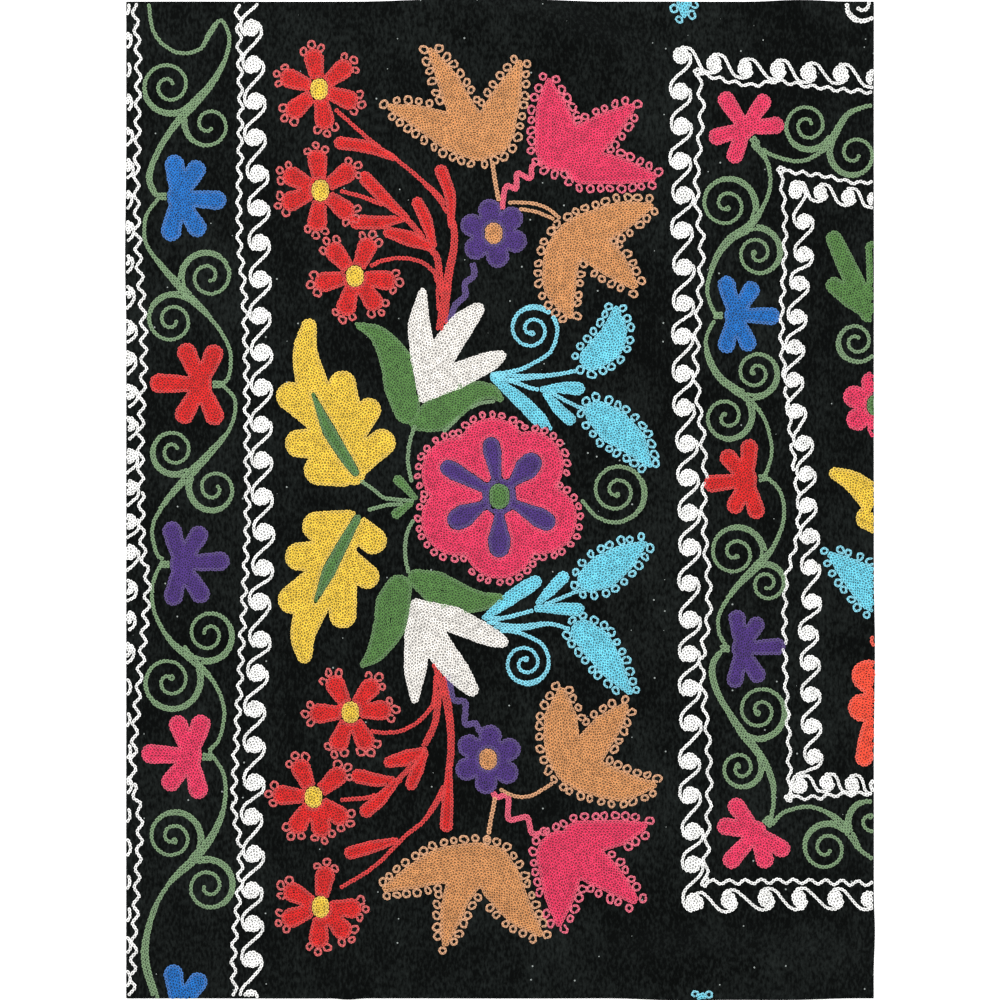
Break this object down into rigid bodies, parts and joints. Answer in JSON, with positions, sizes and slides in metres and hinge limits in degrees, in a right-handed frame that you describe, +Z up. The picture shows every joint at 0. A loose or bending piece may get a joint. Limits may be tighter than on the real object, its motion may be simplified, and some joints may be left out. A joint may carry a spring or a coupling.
{
  "type": "suzani embroidered textile",
  "caption": "Cut length of black velvet with chain-stitched flowers, leaves, vines and scroll borders, lying nearly flat with a few soft folds.",
  "frame": {"origin": "middle of the underside, on the surface that the cloth lies on", "axes": "+X across the cloth, away from its vine border; +Y along the cloth; +Z up, out of the pile side"},
  "size_m": [0.4503, 0.6009, 0.0085],
  "materials": {
    "velvet": "black cotton velvet with a short brushed pile",
    "white_thread": "twisted embroidery thread, soft sheen",
    "green_thread": "twisted embroidery thread, soft sheen",
    "red_thread": "twisted embroidery thread, soft sheen",
    "crimson_thread": "twisted embroidery thread, soft sheen",
    "purple_thread": "twisted embroidery thread, soft sheen",
    "blue_thread": "twisted embroidery thread, soft sheen",
    "cyan_thread": "twisted embroidery thread, soft sheen",
    "tan_thread": "twisted embroidery thread, soft sheen",
    "yellow_thread": "twisted embroidery thread, soft sheen",
    "orange_thread": "twisted embroidery thread, soft sheen"
  },
  "bodies": {
    "root": {"ground_cloth": "velvet"}
  },
  "joints": []
}
